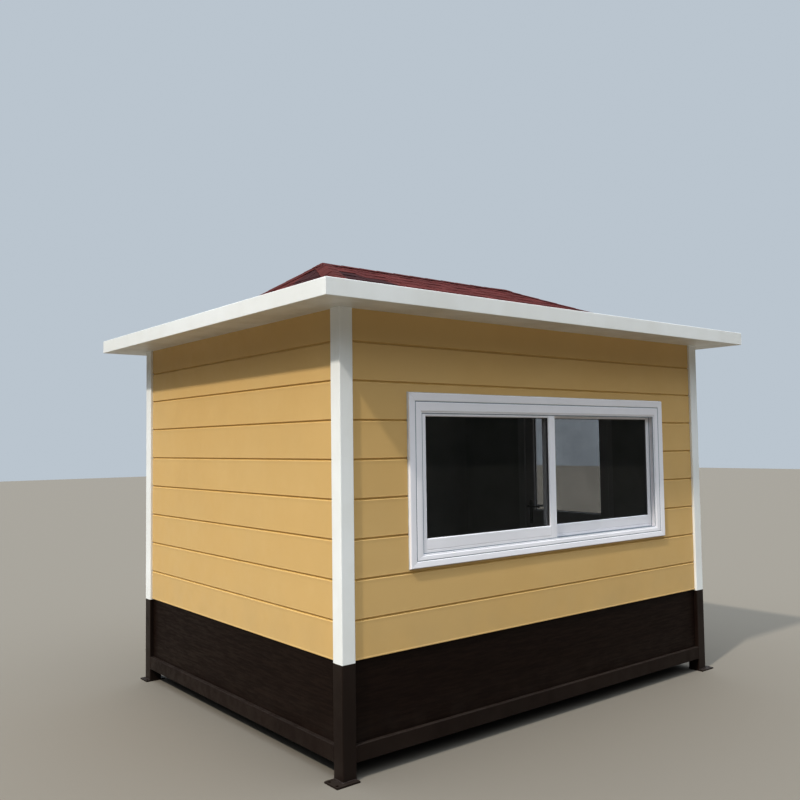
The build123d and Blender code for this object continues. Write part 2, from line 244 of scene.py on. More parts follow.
def darkPaint():
    finish = Finish("darkPaint", SpecularIORLevel=0.16)
    skin = finish.noise(5.0, 2.0) * 0.5 + finish.noise(260.0, 2.0) * 0.03
    return finish.done(darkCoat(finish, darkValues), finish.share(0.38, 0.56, 16.0), skin, 0.0015, 0.7)


def postPaint():            # white over dark, with a clean line between the two coats
    values = {"line": 0.541, "edge": 0.0006}
    finish = Finish("postPaint", SpecularIORLevel=0.24)
    level = finish.height() + finish.noise(30.0, 2.0) * 0.0008
    white = finish.ramp(level, values["line"] - values["edge"], values["line"] + values["edge"])
    tone = finish.blend(white, darkCoat(finish, darkValues), paintTone(finish, whiteValues))
    skin = finish.noise(4.0, 2.0) * 0.5 + finish.noise(250.0, 1.0) * 0.03
    return finish.done(tone, finish.share(0.34, 0.48, 12.0), skin + white * 0.35, 0.0014, 0.8)


def plinthSheet():          # dark sheet printed and pressed with lying wood grain
    values = {"dark": (0.0105, 0.0054, 0.0038), "light": (0.015, 0.008, 0.0054),
              "dust": (0.06, 0.048, 0.038), "splash": (0.162, 0.36, 0.1, 0.0)}
    finish = Finish("plinthSheet", SpecularIORLevel=0.11)
    grain = finish.noise(26.0, 5.0, 0.62, (0.35, 0.35, 3.6))
    tone = finish.blend(finish.ramp(grain, 0.38, 0.66), values["dark"], values["light"])
    low = finish.ramp(finish.height(), *values["splash"]) * finish.share(0.1, 1.0, 8.0)
    tone = finish.blend(low, tone, values["dust"])
    return finish.done(tone, finish.ramp(grain, 0.3, 0.7, 0.58, 0.4), grain, 0.0011, 0.8)


# Two tones of a tile, then those of its light and its dark granules
granuleTones = {"redShingle": [(0.056, 0.0118, 0.0115), (0.088, 0.0195, 0.018), (0.132, 0.042, 0.037),
                               (0.026, 0.0064, 0.006)],
                "capShingle": [(0.052, 0.012, 0.0118), (0.077, 0.019, 0.0175), (0.119, 0.041, 0.036),
                               (0.025, 0.0068, 0.0064)]}


def granules(name):
    values = {"grain": 520.0, "size": 0.00085, "dark": (0.0186, 0.0105, 0.0124)}
    first, second, speck, deep = granuleTones[name]
    finish = Finish(name, SpecularIORLevel=0.05)
    tone = finish.tone()
    sockets = {"Vector": finish.place, "Scale": values["grain"]}
    stone, lump = (finish.add("TexVoronoi", {"feature": "F1"}, sockets, out) for out in ("Color", "Distance"))
    pick = finish.add("SeparateXYZ", {}, {0: stone}, "X")
    body = finish.blend(finish.ramp(tone + finish.share(-0.18, 0.18, 5.0), 0.0, 1.0), first, second)
    body = finish.blend(finish.ramp(pick, 0.72, 0.8, 0.0, 0.75), body, speck)
    body = finish.blend(finish.ramp(pick, 0.16, 0.08, 0.0, 0.7), body, deep)
    body = finish.blend(finish.ramp(tone, -0.15, -0.6, 0.0, 0.85), body, values["dark"])
    body = finish.blend(finish.share(0.0, 0.16, 1.4), body, speck)
    return finish.done(body, finish.share(0.86, 0.97, 20.0), 1.0 - lump, values["size"], 0.75)


def darkGlass():            # tinted pane: partly clear, with faint dust
    values = {"tint": (0.016, 0.0165, 0.015), "dust": (0.05, 0.05, 0.047)}
    finish = Finish("darkGlass", SpecularIORLevel=0.3, IOR=1.5)
    finish.give(BaseColor=finish.blend(finish.share(0.0, 0.03, 3.0, 5.0), values["tint"], values["dust"]))
    finish.give(Roughness=finish.share(0.012, 0.05, 6.0), Alpha=finish.share(0.25, 0.29, 4.0))
    return finish.material


def vinylFloor():
    values = {"tone": (0.23, 0.215, 0.195), "light": (0.31, 0.295, 0.27), "scuff": (0.12, 0.11, 0.1)}
    finish = Finish("vinylFloor", SpecularIORLevel=0.4)
    grain = finish.noise(11.0, 5.0, 0.6, (0.5, 5.0, 1.0))
    tone = finish.blend(grain, values["tone"], values["light"])
    tone = finish.blend(finish.share(0.0, 0.35, 4.0), tone, values["scuff"])
    return finish.done(tone, finish.share(0.38, 0.6, 6.0), grain, 0.0005, 0.7)


# Name, specular level, patches of the second tone, both tones, roughness, noise, the relief's depth and
# strength, and then the metal's shares and a tone of dirt where there is one
plainValues = {
    "rubber": ("blackRubber", 0.3, (0.0, 0.6, 18.0), (0.01, 0.01, 0.01), (0.026, 0.025, 0.024),
               (0.52, 0.72, 25.0), (420.0, 2.0), (0.0002, 0.6)),
    # The grey seal also paints the shade lines in the window's grooves
    "seal": ("greySealAndShade", 0.3, (0.0, 0.6, 18.0), (0.24, 0.27, 0.3), (0.3, 0.33, 0.36),
             (0.52, 0.72, 25.0), (420.0, 2.0), (0.0002, 0.6)),
    "inner": ("innerPanel", 0.4, (0.0, 1.0, 1.6), (0.62, 0.62, 0.6), (0.56, 0.56, 0.54),
              (0.4, 0.55, 7.0), (3.5, 2.0), (0.0012, 0.6)),
    "felt": ("darkFelt", 0.2, (0.0, 1.0, 22.0), (0.022, 0.019, 0.017), (0.05, 0.043, 0.038),
             (0.82, 0.94, 30.0), (300.0, 2.0), (0.0006, 0.8)),
    "sealant": ("sealant", 0.4, (0.0, 1.0, 14.0), (0.52, 0.52, 0.5), (0.4, 0.39, 0.365),
                (0.35, 0.55, 25.0), (60.0, 3.0), (0.0015, 0.8)),
    "metal": ("darkMetal", 0.5, (0.0, 1.0, 20.0), (0.1, 0.1, 0.102), (0.16, 0.158, 0.155),
              (0.28, 0.42, 30.0), (120.0, 2.0), (0.0003, 0.5), (0.8, 0.92, 9.0)),
    "plastic": ("windowPlastic", 0.5, (0.0, 1.0, 3.0), (0.84, 0.815, 0.84), (0.8, 0.78, 0.805),
                (0.28, 0.34, 3.0), (2.4, 1.0), (0.0009, 0.5), None, (0.36, 0.35, 0.33))}


def plainFinish(name, specular, patches, first, second, rough, noise, relief, metal=None, dirt=None):
    finish = Finish(name, SpecularIORLevel=specular)
    if metal:
        finish.give(Metallic=finish.share(*metal))
    tone = finish.blend(finish.share(*patches), first, second)
    if dirt:
        tone = finish.blend(finish.share(0.0, 0.015, 4.0, 3.0), tone, dirt)
    return finish.done(tone, finish.share(*rough), finish.noise(*noise), *relief)


look = {key: plainFinish(*row) for key, row in plainValues.items()}
look.update({"ochre": ochreSheet(), "white": whitePaint(), "dark": darkPaint(), "post": postPaint(),
             "plinth": plinthSheet(), "shingle": granules("redShingle"), "cap": granules("capShingle"),
             "glass": darkGlass(), "vinyl": vinylFloor()})
print("scene: finishes made,", len(look))

# Plain pale floor under the object
floorMesh = bpy.data.meshes.new("paleFloor")
reach = ground["reach"]
floorCorners = [(-reach, -reach, 0), (reach, -reach, 0), (reach, reach, 0), (-reach, reach, 0)]
floorMesh.from_pydata(floorCorners, [], [(0, 1, 2, 3)])
floorFinish = Finish("paleFloor", SpecularIORLevel=0.2, Roughness=0.9, BaseColor=ground["colour"])
floorMesh.materials.append(floorFinish.material)
floorPlane = placed("paleFloor", floorMesh)

# Finishes on the CAD nodes, by the longest start of a name that fits. A node isn't shown where a piece below
# stands for it
nodeLook = {"post": "post", "rail": "dark", "foot": "dark", "beam": "white", "cornice": "white",
            "plinth": "plinth", "wall": "ochre", "roof_slope": "shingle", "roof_caps": "cap",
            "roof_deck": "felt", "floor": "vinyl", "ceiling": "inner", "window": "plastic",
            "window_glass": "glass", "door": "plastic", "door_glass": "glass", "door_handle": "metal",
            "door_hinges": "metal"}
for name, node in nodes.items():
    key = max((start for start in nodeLook if name.startswith(start)), key=len)
    for slot in node.material_slots:
        slot.material = look[nodeLook[key]]
print("scene: nodes painted")


# Geometry. A surface is its points, the point numbers of all its faces in a row, and each face's corner count
def coat(surface, finish, tone=0.0):          # adds the finish and the tone of every face
    points, corners, counts = surface
    finishes = np.broadcast_to(np.asarray(finish), len(counts))
    tones = np.broadcast_to(np.asarray(tone, float), len(counts))
    return points, corners, counts, finishes, tones


# Signed volume from a fan of triangles in every face; a negative one means that all faces are turned
def outward(points, corners, counts, finishes, tones):
    start = np.cumsum(counts) - counts
    many = counts - 2
    face = np.repeat(np.arange(len(counts)), many)
    step = np.arange(many.sum()) - np.repeat(np.cumsum(many) - many, many) + 1
    middle = points - points.mean(axis=0)
    first = middle[corners[start[face]]]
    second = middle[corners[start[face] + step]]
    third = middle[corners[start[face] + step + 1]]
    if np.sum(first * np.cross(second, third)) >= 0:
        return points, corners, counts, finishes, tones
    return points, corners[::-1], counts[::-1], finishes[::-1], tones[::-1]


# Joins the surfaces into one mesh, hangs it on its body and hides the nodes that it stands for
def piece(name, body, stands, coated, sharp=32.0):
    turned = [outward(*surface) for surface in coated]
    offsets = np.cumsum([0] + [len(surface[0]) for surface in turned[:-1]])
    points = np.concatenate([surface[0] for surface in turned])
    corners = np.concatenate([surface[1] + start for surface, start in zip(turned, offsets)])
    counts, finishes, tones = (np.concatenate([surface[part] for surface in turned]) for part in (2, 3, 4))
    used, corners = np.unique(corners, return_inverse=True)
    keys, index = np.unique(finishes, return_inverse=True)
    mesh = bpy.data.meshes.new(name)
    mesh.vertices.add(len(used))
    mesh.vertices.foreach_set("co", points[used].astype(np.float32).ravel())
    mesh.loops.add(len(corners))
    mesh.loops.foreach_set("vertex_index", corners.astype(np.int32).ravel())
    mesh.polygons.add(len(counts))
    mesh.polygons.foreach_set("loop_start", (np.cumsum(counts) - counts).astype(np.int32))
    for key in keys:
        mesh.materials.append(look[str(key)])
    mesh.polygons.foreach_set("material_index", index.astype(np.int32).ravel())
    mesh.attributes.new("tone", "FLOAT", "FACE").data.foreach_set("value", tones.astype(np.float32))
    mesh.update(calc_edges=True)
    mesh.shade_smooth()
    mesh.set_sharp_from_angle(angle=np.radians(sharp))
    thing = placed(name, mesh)
    thing.modifiers.new("evenShading", "WEIGHTED_NORMAL").keep_sharp = True
    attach(thing, body)
    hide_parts(*stands)
    print("scene:", name, len(counts), "faces")


# A closed section carried through stations: rings[station, point]. Its ends are capped, or joined if looped
def carried(rings, looped=False):
    stations, around = rings.shape[:2]
    number = np.arange(stations * around).reshape(stations, around)
    number = np.concatenate([number, number[:, :1]], axis=1)
    if looped:
        number = np.concatenate([number, number[:1]])
    quads = np.stack([number[:-1, :-1], number[1:, :-1], number[1:, 1:], number[:-1, 1:]], axis=-1)
    corners = quads.ravel()
    counts = np.full(corners.size // 4, 4)
    if not looped:
        corners = np.concatenate([corners, number[0, :-1], number[-1, :-1][::-1]])
        counts = np.concatenate([counts, [around, around]])
    return rings.reshape(-1, 3), corners, counts


# A sheet between two grids of points, without the cells that are left out; every open edge is closed
def thickSheet(outer, inner, keep):
    number = np.arange(outer.shape[0] * outer.shape[1]).reshape(outer.shape[:2])
    a, b, c, d = number[:-1, :-1], number[:-1, 1:], number[1:, 1:], number[1:, :-1]
    under = number.size
    beyond = np.pad(keep, 1)
    edges = [(a, b, beyond[:-2, 1:-1]), (b, c, beyond[1:-1, 2:]), (c, d, beyond[2:, 1:-1]),
             (d, a, beyond[1:-1, :-2])]
    faces = [np.stack([a, b, c, d], -1)[keep], np.stack([a, d, c, b], -1)[keep] + under]
    faces += [np.stack([q, p, p + under, q + under], -1)[keep & ~full] for p, q, full in edges]
    corners = np.concatenate(faces).ravel()
    points = np.concatenate([outer.reshape(-1, 3), inner.reshape(-1, 3)])
    return points, corners, np.full(corners.size // 4, 4), len(faces[0])      # the outer faces come first


# One outline per station, from half its width and height: quarter circles, each moved to its corner less the
# radius
def roundedRectangles(width, height, radius, steps=3):
    angle = (np.arange(4)[:, None] * np.pi / 2 + np.linspace(0, np.pi / 2, steps + 1)).ravel()
    signs = np.repeat([[1, 1], [-1, 1], [-1, -1], [1, -1]], steps + 1, axis=0)
    width, height, radius = (np.atleast_1d(value)[:, None] for value in (width, height, radius))
    across = signs[:, 0] * (width - radius) + radius * np.cos(angle)
    upward = signs[:, 1] * (height - radius) + radius * np.sin(angle)
    return np.stack([across, upward], axis=-1)


# Right, up and out as seen from outside on each wall; every face is laid out in these three
wallAxes = {"front": np.array([(1, 0, 0), (0, 0, 1), (0, -1, 0)], float),
            "right": np.array([(0, 1, 0), (0, 0, 1), (1, 0, 0)], float),
            "back": np.array([(-1, 0, 0), (0, 0, 1), (0, 1, 0)], float),
            "left": np.array([(0, -1, 0), (0, 0, 1), (-1, 0, 0)], float)}


def onWall(side, right, up, out):
    return np.stack(np.broadcast_arrays(right, up, out), axis=-1) @ wallAxes[side]


def wallRect(side, name):             # a node's rectangle and its depths, as seen from outside
    span = np.array(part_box(name)) @ wallAxes[side].T
    span.sort(axis=0)
    return (span[0, 0], span[1, 0], span[0, 1], span[1, 1]), span[0, 2], span[1, 2]


def grow(rect, amount):               # a rectangle (left, right, bottom, top) made larger all round
    return rect[0] - amount, rect[1] + amount, rect[2] - amount, rect[3] + amount


mitreHalf = 0.0008                    # half the width of the groove at a mitre


# A mitred frame between two rectangles. The profile gives, for each of its points, the share of the way from
# the outer rectangle to the inner one, and how far out it lies. A dip makes a fine groove at the mitres
def ringBetween(side, outer, inner, profile, finish, dip=0.0):
    outer, inner, profile = (np.array(values, float) for values in (outer, inner, profile))
    edges = outer + (inner - outer) * profile[:, :1]
    corners = np.stack([edges[:, [0, 1, 1, 0]], edges[:, [2, 2, 3, 3]]], axis=-1)
    leaving = np.array([(1, 0), (0, 1), (-1, 0), (0, -1)], float) * mitreHalf
    arriving = np.roll(leaving, 1, axis=0)
    spots = np.stack([corners - arriving, corners, corners + leaving], axis=2)
    outs = profile[:, 1][:, None, None] - np.tile([0, dip, 0], (4, 1))
    rings = np.concatenate([spots, outs[..., None]], axis=-1).transpose(1, 2, 0, 3)
    return coat(carried(rings.reshape(-1, len(profile), 3) @ wallAxes[side], looped=True), finish)


# A bar with rounded edges; low and high are right, up and out. At the angle t into an end, the section is
# smaller by r(1 - cos t) all round and lies r(1 - sin t) from the end
def wallBar(side, low, high, along, radius, finish):
    low, high = np.array(low, float), np.array(high, float)
    order = [(along + 1) % 3, (along + 2) % 3, along]
    half = ((high - low) / 2)[order]
    turn = np.linspace(0, 1.2, 4)
    inset = radius * (1 - np.cos(turn))
    back = radius * (1 - np.sin(turn))
    back[-1] = 0
    inset = np.concatenate([inset[::-1], inset])
    place = np.concatenate([back[::-1] - half[2], half[2] - back])[:, None]
    outlines = roundedRectangles(half[0] - inset, half[1] - inset, radius - inset)
    rings = np.dstack([outlines, np.broadcast_to(place, outlines.shape[:2])])
    points, corners, counts = carried(rings[..., np.argsort(order)] + (high + low) / 2)
    return coat((points @ wallAxes[side], corners, counts), finish)


# Bars of a sash or a leaf: left, right, bottom, top, depth within both faces, 0 lying or 1 upright, radius
def frameBars(side, back, front, rows):
    return [wallBar(side, (left, bottom, back + deep), (right, top, front - deep), along, radius, "plastic")
            for left, right, bottom, top, deep, along, radius in rows]


# Random heights on whole numbers, blended between them by 3t^2 - 2t^3
def softNoise(u, v, seed):
    lattice = np.random.default_rng(seed).uniform(-1, 1, (64, 64))
    column, row = np.floor(u).astype(int), np.floor(v).astype(int)
    s, t = u - column, v - row
    s, t = s * s * (3 - 2 * s), t * t * (3 - 2 * t)
    a, b = lattice[row % 64, column % 64], lattice[row % 64, (column + 1) % 64]
    c, d = lattice[(row + 1) % 64, column % 64], lattice[(row + 1) % 64, (column + 1) % 64]
    return (a * (1 - s) + b * s) * (1 - t) + (c * (1 - s) + d * s) * t


def facedPanel(side, right, up, out, lining, keep, finish, tone=0.0):         # its inner face is flat
    faces = onWall(side, right, up, out), onWall(side, right, up, lining)
    points, corners, counts, front = thickSheet(*faces, keep)
    tones = np.zeros(len(counts))
    tones[:front] = tone
    return coat((points, corners, counts), np.repeat([finish, "inner"], [front, len(counts) - front]), tones)


# Strip-faced wall panels. The grooves repeat upwards from the plinth
siding = {"strip": 0.19, "groove": 0.006, "bow": 0.0005, "wave": 0.0007, "step": 0.034, "thickness": 0.062}
low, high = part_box("wall_front")
plinthTop, soffitLevel, roomX, frontFace = low.z, high.z, high.x, -low.y
low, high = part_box("wall_left")
roomY, sideFace = high.y, -low.x
# Upright section at one joint: height over the joint and how far it stands out, both in metres
jointSection = np.array([
    (-0.03, 0), (-0.02, 0.0004), (-0.014, 0.001), (-0.0112, 0.0009), (-0.0098, 0), (-0.009, -0.002),
    (-0.0083, -0.0042), (-0.007, -0.0057), (-0.0055, -0.006), (-0.0028, -0.006), (-0.0013, -0.0055),
    (-0.0002, -0.0038), (0.0004, -0.0018), (0.0011, -0.0003), (0.0024, 0.0006), (0.006, 0.0006), (0.013, 0)])
startSection = np.array([(0, -0.001), (0.0008, 0.001), (0.0024, 0.0019), (0.006, 0.0019), (0.0085, 0.0008),
                         (0.012, 0)])
noHole = (9.0, 9.1, 9.0, 9.1)         # beyond the wall


# Heights and stand-outs of the section: a joint's rows at every strip, one in mid strip, and the cuts
def sidingRows(values, bottom, top, cuts):
    joints = np.arange(bottom + values["strip"], top - 0.02, values["strip"])
    middles = np.arange(bottom + values["strip"] * 0.45, top, values["strip"])
    rows = [startSection + (bottom, 0)]
    rows += [jointSection + (joint, 0) for joint in joints]
    rows += [np.column_stack([middles, np.full(len(middles), values["bow"])]), [(top, 0.0)]]
    rows = np.concatenate(rows)
    rows = rows[np.argsort(rows[:, 0])]
    heights = np.unique(np.concatenate([rows[:, 0], cuts]).round(6))
    return heights, np.interp(heights, rows[:, 0], rows[:, 1])


def sidingPanel(values, side, half, face, hole=noHole):
    columns = np.linspace(-half, half, int(2 * half / values["step"]) + 1)
    columns = np.unique(np.concatenate([columns, np.clip(hole[:2], -half, half)]).round(6))
    heights, out = sidingRows(values, plinthTop, soffitLevel, np.clip(hole[2:], plinthTop, soffitLevel))
    right, up = np.meshgrid(columns, heights)
    wave = softNoise(right * 1.9 + 7, up * 2.6 + 3, len(side)) * values["wave"]
    middleX, middleZ = (columns[:-1] + columns[1:]) / 2, (heights[:-1] + heights[1:]) / 2
    inside = (middleX > hole[0]) & (middleX < hole[1])
    keep = ~(inside[None, :] & ((middleZ > hole[2]) & (middleZ < hole[3]))[:, None])
    # Faces sunk in a groove get tone 1, which the ochre finish darkens as dirt and painted shade
    sunk = (out[:-1] + out[1:]) / 2 < -values["groove"] * 0.3
    tone = np.broadcast_to(sunk[:, None], keep.shape)[keep]
    out = face + out[:, None] + wave
    return facedPanel(side, right, up, out, face - values["thickness"], keep, "ochre", tone)


casingLap = 0.024                     # how far the window's casing covers the wall
casingRect, frameBack, casingFace = wallRect("front", "window_frame")
windowCut = grow(casingRect, -casingLap)
low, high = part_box("wall_over_door")
doorLow, doorHigh, doorTop = low.y, high.y, low.z
doorHole = (doorLow, doorHigh, plinthTop - 0.1, doorTop)
for side, half, face, hole, stands in (
        ("front", roomX, frontFace, windowCut, ["wall_front"]),
        ("back", roomX, frontFace, noHole, ["wall_back"]),
        ("left", roomY, sideFace, noHole, ["wall_left"]),
        ("right", roomY, sideFace, doorHole, ["wall_right_front", "wall_right_back", "wall_over_door"])):
    piece("siding_" + side, "cabin", stands, [sidingPanel(siding, side, half, face, hole)])


# Plinth panels, pressed with lying wood grain
plinthSheets = {"grain": 0.0009, "fine": 0.00035, "pitch": 0.028, "thickness": 0.054, "column": 0.03,
                "row": 0.006, "rim": 0.01, "back": 0.0006}


# The relief is noise drawn out along the grain: a broad wave of the pitch and a fine one of a third of it
def plinthPanel(values, side, rect, face):
    start, end, bottom, top = rect
    columns = np.linspace(start, end, int((end - start) / values["column"]) + 1)
    heights = np.linspace(bottom, top, int((top - bottom) / values["row"]) + 1)
    right, up = np.meshgrid(columns, heights)
    bend = softNoise(right * 2.3 + 11, up * 3.0, 5) * 0.9
    broad = softNoise(right * 3.1 + 20, up / values["pitch"] + bend + 40, 8)
    fine = softNoise(right * 9.0 + 33, up * 3 / values["pitch"] + bend, 9)
    edge = np.minimum.reduce([up - bottom, top - up, right - start, end - right]) / values["rim"]
    relief = (broad * values["grain"] + fine * values["fine"]) * np.clip(edge, 0, 1)
    keep = np.ones((len(heights) - 1, len(columns) - 1), bool)
    out = face - values["back"] + relief
    return facedPanel(side, right, up, out, face - values["thickness"], keep, "plinth")


for name in ("plinth_front", "plinth_back", "plinth_left", "plinth_right_front", "plinth_right_back"):
    side = name.split("_")[1]
    rect, back, face = wallRect(side, name)
    panel = plinthPanel(plinthSheets, side, rect, face)
    piece(name + "_sheet", "cabin", [name], [panel], sharp=60.0)


# Every right angle becomes a quarter circle: its centre less r cos t of the way on, less r sin t of the way
# back
def roundedOutline(corners, radius, steps=3):
    corners = np.array(corners, float)
    back, on = (np.roll(corners, way, axis=0) - corners for way in (1, -1))
    back, on = (radius[:, None] * way / np.linalg.norm(way, axis=1)[:, None] for way in (back, on))
    turn = np.linspace(0, np.pi / 2, steps + 1)[:, None]
    arcs = (corners + back + on)[:, None] - np.cos(turn) * on[:, None] - np.sin(turn) * back[:, None]
    return arcs.reshape(-1, 2)


# Cornice. One folded sheet on each side, mitred at the corners
cornice = {"sheet": 0.004, "wallBend": 0.0003, "bend": 0.003, "edge": 0.001, "station": 0.09, "wave": 0.0009,
           "mitre": 0.0004}


# The fold is carried along the wall; at a mitre its length grows as much as it stands out
def corniceLength(values, side):
    rect, inner, outer = wallRect(side, "cornice_" + side)
    low, high = rect[2:]
    sheet, bend, edge = values["sheet"], values["bend"], values["edge"]
    fold = [(inner, low), (outer, low), (outer, high), (inner, high), (inner, high - sheet),
            (outer - sheet, high - sheet), (outer - sheet, low + sheet), (inner, low + sheet)]
    section = roundedOutline(fold, np.array([values["wallBend"], bend, bend, edge, edge, edge, edge, edge]))
    reach = rect[1] - outer + section[:, 0] - values["mitre"]
    right = np.linspace(-1, 1, int(2 * rect[1] / values["station"]))[:, None] * reach
    standing = np.clip((section[:, 0] - inner) / (outer - inner), 0, 1)
    wave = values["wave"] / 2
    dent = (softNoise(right * 1.7 + 9, right * 0 + len(side), 3) - 1) * wave * (standing > 0.9)
    sag = (softNoise(right * 2.3 + 5, section[:, 0] * 6 + right * 0, 4) + 1) * wave
    sag = sag * np.sin(np.pi * standing) * np.where(section[:, 1] < low + 0.02, 1, -1)
    return coat(carried(onWall(side, right, section[:, 1] + sag, section[:, 0] + dent)), "white")


for side in wallAxes:
    stands = ["cornice_" + side]
    piece("cornice_sheet_" + side, "cabin", stands, [corniceLength(cornice, side)], sharp=40.0)


# Weld beads on the frame: fillets where a post stands on its plate, flat ones where a rail meets a post
welds = {"fillet": 0.005, "width": 0.0045, "height": 0.0015, "pitch": 0.006, "taper": 0.004, "short": 0.003}
filletSection = welds["fillet"] * np.array([(-0.15, -0.15), (1.0, -0.1), (0.84, 0.36), (0.6, 0.6),
                                            (0.36, 0.84), (-0.1, 1.0)])
flatSection = np.array([(-1, -0.3), (1, -0.3), (0.85, 0.4), (0.5, 0.85), (0, 1), (-0.5, 0.85), (-0.85, 0.4)])
flatSection = flatSection * (welds["width"], welds["height"])


# The section is carried along a line. Its size is 1 + 0.08 sin(turn at each pitch) + noise, less at the ends
def weldBead(values, start, end, first, second, section, seed):
    start, end, first, second = (np.array(spot, float) for spot in (start, end, first, second))
    length = np.linalg.norm(end - start)
    place = np.linspace(0, length, int(5 * length / values["pitch"]) + 2)[:, None]
    size = 1 + 0.08 * np.sin(2 * np.pi * place / values["pitch"])
    size = size + 0.2 * softNoise(place * 90 + seed, place * 0, 31)
    size = size * np.sqrt(np.clip(np.minimum(place, length - place) / values["taper"], 0.1, 1))
    spine = start + place * (end - start) / length
    around = section[:, :1] * first + section[:, 1:] * second
    return coat(carried(spine[:, None] + size[..., None] * around), "dark")


beads = []
low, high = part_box("rail_front")
railLow, railHigh = low.z + welds["short"], high.z - welds["short"]
for name in ("front_left", "front_right", "back_left", "back_right"):
    low, high = (np.array(corner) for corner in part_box("post_" + name))
    way = np.sign(low + high)
    outer, inner = np.where(way > 0, high, low), np.where(way > 0, low, high)
    along, across, up = (way[0], 0, 0), (0, way[1], 0), (0, 0, 1)
    corner = (outer[0], outer[1], low[2])
    spots = [((outer[0], inner[1]), along, across), ((inner[0], outer[1]), across, along)]
    seed = len(beads)
    beads += [weldBead(welds, (*spot, low[2]), corner, near, up, filletSection, seed)
              for spot, near, far in spots]
    beads += [weldBead(welds, (*spot, railLow), (*spot, railHigh), far, near, flatSection, seed + 2)
              for spot, near, far in spots[::-1]]
piece("weld_beads", "cabin", [], beads, sharp=50.0)


# Roof. Courses of laminated shingles on boards, then folded caps on the hips and the ridge
shingles = {"exposure": 0.143, "first": 0.032, "overlap": 1.12, "base": 0.0014, "fall": 0.0022,
            "under": 0.0042, "boards": -0.0076, "boardsUnder": -0.0243, "station": 0.075, "patch": 0.33,
            "waver": 0.0011, "width": (0.11, 0.2), "gap": (0.05, 0.13), "draw": (0.01, 0.022),
            "shift": 0.0006}
darkerTiles = {"front": (-9.0, -0.7, 6), "left": (-0.12, 9.0, 4)}      # from, to and courses of tiles drawn darker
low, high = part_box("roof_slope_front")
eaveX, eaveY, roofBase, ridgeTop = high.x, -low.y, low.z, high.z
ridgeX = -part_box("roof_slope_left")[1].x
zUp = np.array([0.0, 0.0, 1.0])


class Slope:              # one roof plane: v along the eave, s up the slope, n out of it
    def __init__(self, side):
        out = wallAxes[side][2]
        lengthwise = side in ("front", "back")
        start, self.half, self.top = (eaveY, eaveX, ridgeX) if lengthwise else (eaveX, eaveY, 0.0)
        run = eaveY if lengthwise else eaveX - ridgeX
        rise = ridgeTop - roofBase
        self.length = np.hypot(run, rise)
        self.axes = np.array([wallAxes[side][0], (zUp * rise - out * run) / self.length,
                              (out * rise + zUp * run) / self.length])
        self.origin = out * start + zUp * roofBase

    def width(self, s):   # half the slope's width between its hips
        return self.half - (self.half - self.top) * s / self.length

    def at(self, v, s, n):
        return self.origin + np.stack(np.broadcast_arrays(v, s, n), axis=-1) @ self.axes


def boards(values, slope):
    s = np.array([0.0, 0.0, slope.length - 0.004, slope.length - 0.004])
    n = np.array([values["boardsUnder"], values["boards"], values["boards"], values["boardsUnder"]])
    v = np.array([[-1], [1]]) * np.maximum(slope.width(s) - 0.002, 0.002)
    return coat(carried(slope.at(v, s, n)), "felt")


# Tones of the tiles whose middles lie at v: between 0 and 1, or -1 where they are drawn darker
def batchTone(side, number, v, tones):
    start, end, courses = darkerTiles.get(side, (0, 0, 0))
    return np.where((v > start) & (v < end) & (number < courses), -1.0, tones)


def courseEnd(values, slope, start):      # and how much lower its face lies there
    end = min(start + values["exposure"] * values["overlap"], slope.length - 0.012)
    return end, values["fall"] * (end - start) / values["exposure"]


# The section is a thin wedge, carried between the hips; its butt wavers a little
def courseStrip(values, slope, side, number, start, seed):
    end, fall = courseEnd(values, slope, start)
    under, base = values["under"], values["base"]
    s = start + np.array([0, 0, 0.0009, (end - start) / 2, end - start, end - start])
    n = -np.array([under, base + 0.0007, base, base + fall / 2, base + fall, under + 0.0028])
    count = max(int(2 * slope.width(start) / values["station"]), 3)
    v = np.linspace(-1, 1, count)[:, None] * (slope.width(s) - 0.001)
    s = s + softNoise(v * 3.3 + seed, v * 0 + seed, 21) * values["waver"] * (s - start < 0.002)
    n = n + (softNoise(v * 2.1 + seed, s * 9, 22) - 1) * 0.0003
    middle = (v[:-1, 0] + v[1:, 0]) / 2
    patch = (np.floor(middle / values["patch"]) % 12).astype(int)
    mixed = np.random.default_rng(seed).uniform(0.1, 0.9, 12)[patch]
    tone = np.repeat(batchTone(side, number, middle, mixed), n.shape[1])
    return coat(carried(slope.at(v, s, n)), "shingle", np.concatenate([tone, tone[[0, -1]]]))


# Random tabs on a course: each a low wedge whose sides draw in towards its top
def teeth(values, slope, side, number, start, seed):
    dice = np.random.default_rng(seed + 400)
    end, fall = courseEnd(values, slope, start)
    s = np.array([start, start, start + 0.0007, end, end])
    n = -np.array([values["base"] + 0.0008, 0.0006, 0.0, fall, values["base"] + fall + 0.0008])
    narrowing = np.array([0, 0, 0, 1, 1])
    made = []
    edge = -slope.width(start) + dice.uniform(0, 0.05)
    while edge < slope.width(start) - 0.03:
        width = dice.uniform(*values["width"])
        draw = dice.uniform(*values["draw"], 2)
        v = np.stack([edge + draw[0] * narrowing, edge + width - draw[1] * narrowing])
        v = np.clip(v, -slope.width(s) + 0.002, slope.width(s) - 0.002)
        if (v[1] - v[0]).min() > 0.02:
            ring = slope.at(v, s + dice.uniform(-values["shift"], values["shift"]), n)
            tone = batchTone(side, number, edge + width / 2, dice.uniform(0, 1))
            made.append(coat(carried(ring), "shingle", tone))
        edge += width + dice.uniform(*values["gap"])
    return made


def slopeSurfaces(values, side):
    slope = Slope(side)
    made = [boards(values, slope)]
    for number, start in enumerate(np.arange(values["first"], slope.length - 0.035, values["exposure"])):
        seed = number * 7 + len(side) * 31
        made.append(courseStrip(values, slope, side, number, start, seed))
        made += teeth(values, slope, side, number, start, seed)
    return made


